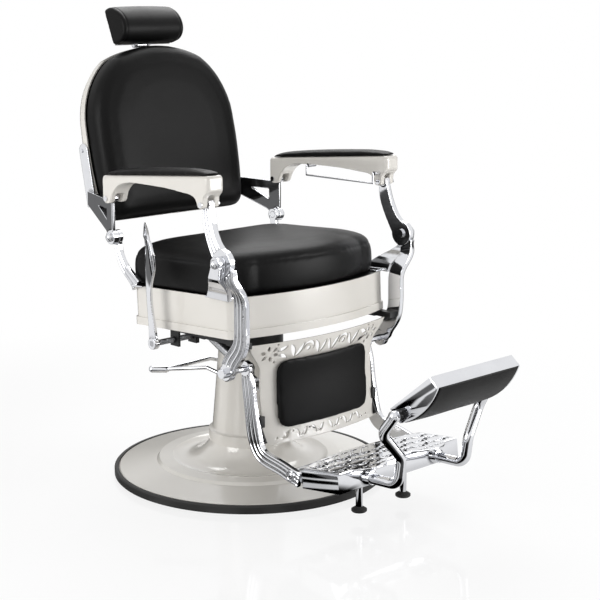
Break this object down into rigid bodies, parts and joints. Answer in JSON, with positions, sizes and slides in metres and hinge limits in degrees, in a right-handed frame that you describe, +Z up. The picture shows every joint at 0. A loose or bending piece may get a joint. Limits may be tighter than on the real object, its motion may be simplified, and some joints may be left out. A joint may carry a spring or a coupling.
{
  "type": "barber chair",
  "caption": "Reclining barber chair on a hydraulic column with fluted cast arms, openwork footrest, leg pad and headrest.",
  "frame": {"origin": "centre of the round base on the floor", "axes": "+Z up, -Y is the way the sitter faces, -X is the sitter's right hand"},
  "size_m": [0.6799, 1.1705, 1.1388],
  "materials": {
    "cream_enamel": "gloss",
    "chrome": "polished",
    "black_iron": "satin",
    "black_rubber": "satin",
    "black_upholstery": "satin",
    "machined_steel": "satin",
    "plywood": "matte",
    "satin_aluminium": "satin"
  },
  "bodies": {
    "base": {"base_plate": "cream_enamel", "base_ring": "black_rubber", "column_cover": "cream_enamel", "pump_cylinder": "machined_steel", "ram_guide_bush": "machined_steel"},
    "pump": {"pump_lever": "chrome", "pump_shaft": "machined_steel"},
    "ram": {"ram_piston": "machined_steel", "swivel_washer": "machined_steel"},
    "seat": {"seat_mount": "black_iron", "seat_frame": "black_iron", "seat_skirt": "cream_enamel", "seat_board": "plywood", "seat_cushion": "black_upholstery", "front_leg_right": "chrome", "front_leg_left": "chrome", "front_bracket_right": "chrome", "front_bracket_left": "chrome", "front_knuckle_pins": "chrome", "knee_pins": "chrome", "rear_support_right": "chrome", "rear_support_left": "chrome", "rear_knuckle_pins": "chrome"},
    "backrest": {"back_shell": "cream_enamel", "back_board": "plywood", "back_cushion": "black_upholstery", "back_bracket_right": "chrome", "back_bracket_left": "chrome", "back_screws": "chrome"},
    "armrest_r": {"armrest_right": "cream_enamel", "arm_pins_right": "chrome", "arm_pad_right": "black_upholstery"},
    "armrest_l": {"armrest_left": "cream_enamel", "arm_pins_left": "chrome", "arm_pad_left": "black_upholstery", "towel_rail": "chrome"},
    "link_r": {"front_link_right": "chrome"},
    "link_l": {"front_link_left": "chrome"},
    "legrest": {"side_arm_right": "chrome", "side_arm_left": "chrome", "calf_bars": "black_iron", "leg_crossbar": "machined_steel", "calf_plate": "cream_enamel", "calf_pad": "black_upholstery", "platform_frame": "chrome", "tread_plate": "chrome", "foot_stems": "chrome", "foot_cups": "black_rubber", "flip_arm_right": "chrome", "flip_arm_left": "chrome", "flip_knobs": "black_iron"},
    "flip_pad": {"flip_shell": "chrome", "flip_cushion": "black_upholstery"},
    "headrest_slide": {"headrest_post": "chrome"},
    "headrest": {"headrest_plate": "satin_aluminium", "headrest_cushion": "black_upholstery"},
    "lever": {"recline_lever": "chrome", "recline_axle": "machined_steel"},
    "strut_outer": {"strut_cylinder": "machined_steel"},
    "strut_inner": {"strut_rod": "machined_steel"}
  },
  "joints": [
    {"name": "seat_lift", "type": "slide", "parent": "base", "child": "ram", "axis": [0, 0, 1], "range_m": [-0.014, 0.13]},
    {"name": "seat_swivel", "type": "hinge", "parent": "ram", "child": "seat", "pos_m": [0, 0, 0.342], "axis": [0, 0, 1], "continuous": true},
    {"name": "backrest_recline", "type": "hinge", "parent": "seat", "child": "backrest", "pos_m": [0, 0.186, 0.6], "axis": [-1, 0, 0], "range_deg": [0, 35]},
    {"name": "armrest_right_pivot", "type": "hinge", "parent": "backrest", "child": "armrest_r", "pos_m": [-0.271, 0.179, 0.696], "axis": [-1, 0, 0], "range_deg": [-40, 0]},
    {"name": "armrest_left_pivot", "type": "hinge", "parent": "backrest", "child": "armrest_l", "pos_m": [0.271, 0.179, 0.696], "axis": [-1, 0, 0], "range_deg": [-40, 0]},
    {"name": "front_link_right_pivot", "type": "hinge", "parent": "seat", "child": "link_r", "pos_m": [-0.292, -0.242, 0.596], "axis": [-1, 0, 0], "range_deg": [0, 30]},
    {"name": "front_link_left_pivot", "type": "hinge", "parent": "seat", "child": "link_l", "pos_m": [0.292, -0.242, 0.596], "axis": [-1, 0, 0], "range_deg": [0, 30]},
    {"name": "legrest_knee", "type": "hinge", "parent": "seat", "child": "legrest", "pos_m": [0, -0.208, 0.334], "axis": [-1, 0, 0], "range_deg": [0, 45.1]},
    {"name": "flip_pad_pivot", "type": "hinge", "parent": "legrest", "child": "flip_pad", "pos_m": [0, -0.628, 0.299], "axis": [-1, 0, 0], "range_deg": [0, 170]},
    {"name": "headrest_height", "type": "slide", "parent": "backrest", "child": "headrest_slide", "axis": [0, 0.2062, 0.9785], "range_m": [0, 0.06]},
    {"name": "headrest_tilt", "type": "hinge", "parent": "headrest_slide", "child": "headrest", "pos_m": [0, 0.41062, 1.0429], "axis": [-1, 0, 0], "range_deg": [-13, 30]},
    {"name": "recline_lever_pull", "type": "hinge", "parent": "seat", "child": "lever", "pos_m": [-0.296, 0.005, 0.372], "axis": [-1, 0, 0], "range_deg": [0, 20], "stiffness_Nm_per_rad": 6, "springref_deg": -20.05},
    {"name": "strut_swing", "type": "hinge", "parent": "seat", "child": "strut_outer", "pos_m": [-0.156, -0.03, 0.38], "axis": [-1, 0, 0], "range_deg": [0, 7.2]},
    {"name": "strut_travel", "type": "slide", "parent": "strut_outer", "child": "strut_inner", "axis": [0, -0.8964, -0.4433], "range_m": [0, 0.0235]},
    {"name": "pump_stroke", "type": "hinge", "parent": "base", "child": "pump", "pos_m": [-0.04585, 0.04748, 0.262], "axis": [-0.7193, -0.6947, 0], "range_deg": [0, 20], "stiffness_Nm_per_rad": 12, "springref_deg": -22.92}
  ],
  "couplings": [
    {"joint": "armrest_right_pivot", "follows": "backrest_recline", "ratio": -1.14},
    {"joint": "armrest_left_pivot", "follows": "backrest_recline", "ratio": -1.14},
    {"joint": "front_link_right_pivot", "follows": "backrest_recline", "ratio": 0.85},
    {"joint": "front_link_left_pivot", "follows": "backrest_recline", "ratio": 0.85},
    {"joint": "legrest_knee", "follows": "backrest_recline", "ratio": 1.286},
    {"joint": "strut_swing", "follows": "backrest_recline", "ratio": 0.195},
    {"joint": "strut_travel", "follows": "backrest_recline", "m_per_rad": 0.038}
  ]
}
